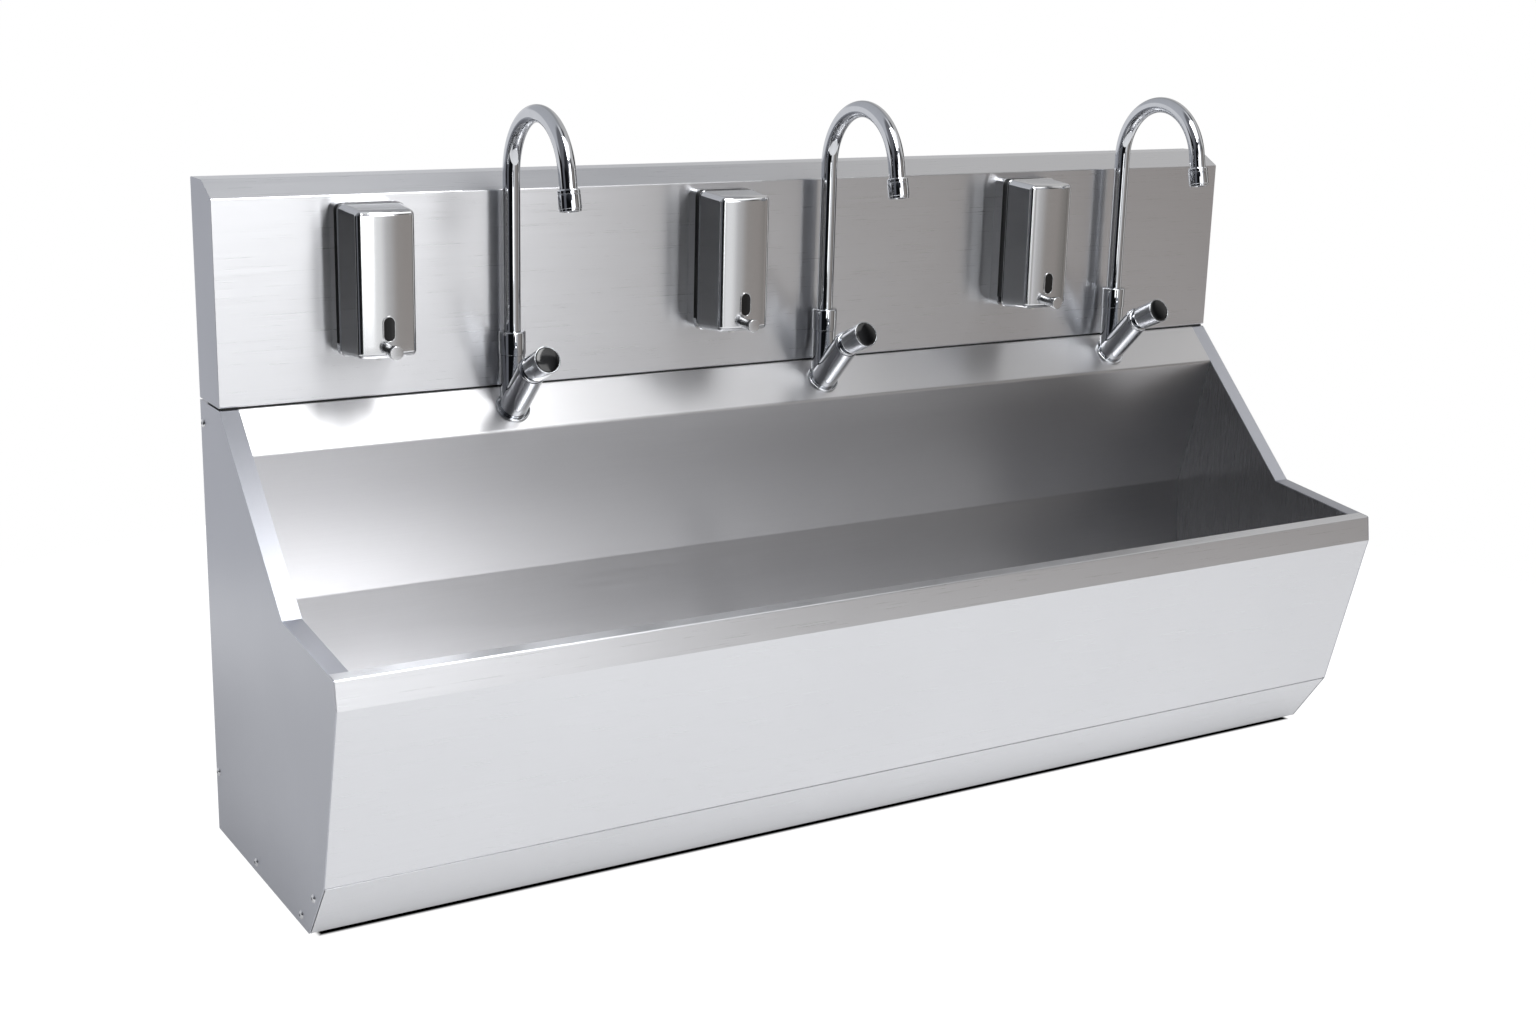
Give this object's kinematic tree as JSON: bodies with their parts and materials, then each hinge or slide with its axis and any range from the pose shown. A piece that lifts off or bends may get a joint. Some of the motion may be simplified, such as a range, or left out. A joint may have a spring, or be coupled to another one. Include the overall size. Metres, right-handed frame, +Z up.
{
  "type": "trough sink",
  "caption": "Long wall-hung stainless trough sink with a slanted apron, cheeked ends, tall backsplash, push taps with swivel spouts on a sloping ledge, and soap dispensers.",
  "frame": {"origin": "middle of the bounding box at the trough's flat underside", "axes": "+X along the length to the user's right, +Y into the wall, +Z up; the front lip faces -Y"},
  "size_m": [1.8066, 0.5229, 1.0629],
  "materials": {
    "front_sheet": "satin brushed along the length",
    "side_sheet": "satin brushed",
    "basin_sheet": "satin brushed",
    "dispenser_steel": "fine satin",
    "polished_steel": "polished",
    "tap_chrome": "bright chrome",
    "black_plastic": "gloss",
    "seal_rubber": "matte",
    "white_plastic": "matte",
    "bare_brass": "plain"
  },
  "bodies": {
    "sink": {"basin": "basin_sheet", "left_end_panel": "side_sheet", "right_end_panel": "side_sheet", "left_end_wall": "basin_sheet", "right_end_wall": "basin_sheet", "front_apron": "front_sheet", "service_panel": "front_sheet", "rear_panel": "side_sheet", "backsplash": "front_sheet", "splash_seal": "seal_rubber", "waste_strainer": "polished_steel", "waste_body": "polished_steel", "trap": "white_plastic", "waste_pipe": "white_plastic", "supply_pipe": "bare_brass", "supply_inlet": "bare_brass", "union_nuts": "bare_brass", "tap_backnuts": "bare_brass", "tap_base_rings": "tap_chrome", "panel_screws": "polished_steel", "left_tap_body": "tap_chrome", "left_tap_collar": "tap_chrome", "left_dispenser_back": "dispenser_steel", "left_gasket": "seal_rubber", "left_reservoir": "white_plastic", "centre_tap_body": "tap_chrome", "centre_tap_collar": "tap_chrome", "centre_dispenser_back": "dispenser_steel", "centre_gasket": "seal_rubber", "centre_reservoir": "white_plastic", "right_tap_body": "tap_chrome", "right_tap_collar": "tap_chrome", "right_dispenser_back": "dispenser_steel", "right_gasket": "seal_rubber", "right_reservoir": "white_plastic"},
    "left_spout_body": {"left_spout": "tap_chrome", "left_outlet": "tap_chrome"},
    "left_knob_body": {"left_knob": "tap_chrome", "left_knob_cap": "black_plastic"},
    "left_cover_body": {"left_cover": "dispenser_steel", "left_window": "black_plastic"},
    "left_button_body": {"left_button": "polished_steel"},
    "centre_spout_body": {"centre_spout": "tap_chrome", "centre_outlet": "tap_chrome"},
    "centre_knob_body": {"centre_knob": "tap_chrome", "centre_knob_cap": "black_plastic"},
    "centre_cover_body": {"centre_cover": "dispenser_steel", "centre_window": "black_plastic"},
    "centre_button_body": {"centre_button": "polished_steel"},
    "right_spout_body": {"right_spout": "tap_chrome", "right_outlet": "tap_chrome"},
    "right_knob_body": {"right_knob": "tap_chrome", "right_knob_cap": "black_plastic"},
    "right_cover_body": {"right_cover": "dispenser_steel", "right_window": "black_plastic"},
    "right_button_body": {"right_button": "polished_steel"}
  },
  "joints": [
    {"name": "left_spout_swivel", "type": "hinge", "parent": "sink", "child": "left_spout_body", "pos_m": [-0.4761, 0.1444, 0.72], "axis": [0, 0, 1], "range_deg": [-60, 60]},
    {"name": "left_knob_push", "type": "slide", "parent": "sink", "child": "left_knob_body", "axis": [0, 0.9063, -0.4226], "range_m": [0, 0.005], "stiffness_N_per_m": 1500, "springref_m": -0.006},
    {"name": "left_cover_hinge", "type": "hinge", "parent": "sink", "child": "left_cover_body", "pos_m": [-0.68904, 0.1351, 0.7225], "axis": [1, 0, 0], "range_deg": [0, 50]},
    {"name": "left_button_push", "type": "slide", "parent": "left_cover_body", "child": "left_button_body", "axis": [0, 1, 0], "range_m": [0, 0.01], "stiffness_N_per_m": 300, "springref_m": -0.01},
    {"name": "centre_spout_swivel", "type": "hinge", "parent": "sink", "child": "centre_spout_body", "pos_m": [0.063, 0.1444, 0.72], "axis": [0, 0, 1], "range_deg": [-60, 60]},
    {"name": "centre_knob_push", "type": "slide", "parent": "sink", "child": "centre_knob_body", "axis": [0, 0.9063, -0.4226], "range_m": [0, 0.005], "stiffness_N_per_m": 1500, "springref_m": -0.006},
    {"name": "centre_cover_hinge", "type": "hinge", "parent": "sink", "child": "centre_cover_body", "pos_m": [-0.12258, 0.1351, 0.7225], "axis": [1, 0, 0], "range_deg": [0, 50]},
    {"name": "centre_button_push", "type": "slide", "parent": "centre_cover_body", "child": "centre_button_body", "axis": [0, 1, 0], "range_m": [0, 0.01], "stiffness_N_per_m": 300, "springref_m": -0.01},
    {"name": "right_spout_swivel", "type": "hinge", "parent": "sink", "child": "right_spout_body", "pos_m": [0.6579, 0.1444, 0.72], "axis": [0, 0, 1], "range_deg": [-60, 60]},
    {"name": "right_knob_push", "type": "slide", "parent": "sink", "child": "right_knob_body", "axis": [0, 0.9063, -0.4226], "range_m": [0, 0.005], "stiffness_N_per_m": 1500, "springref_m": -0.006},
    {"name": "right_cover_hinge", "type": "hinge", "parent": "sink", "child": "right_cover_body", "pos_m": [0.459, 0.1351, 0.7225], "axis": [1, 0, 0], "range_deg": [0, 50]},
    {"name": "right_button_push", "type": "slide", "parent": "right_cover_body", "child": "right_button_body", "axis": [0, 1, 0], "range_m": [0, 0.01], "stiffness_N_per_m": 300, "springref_m": -0.01}
  ]
}
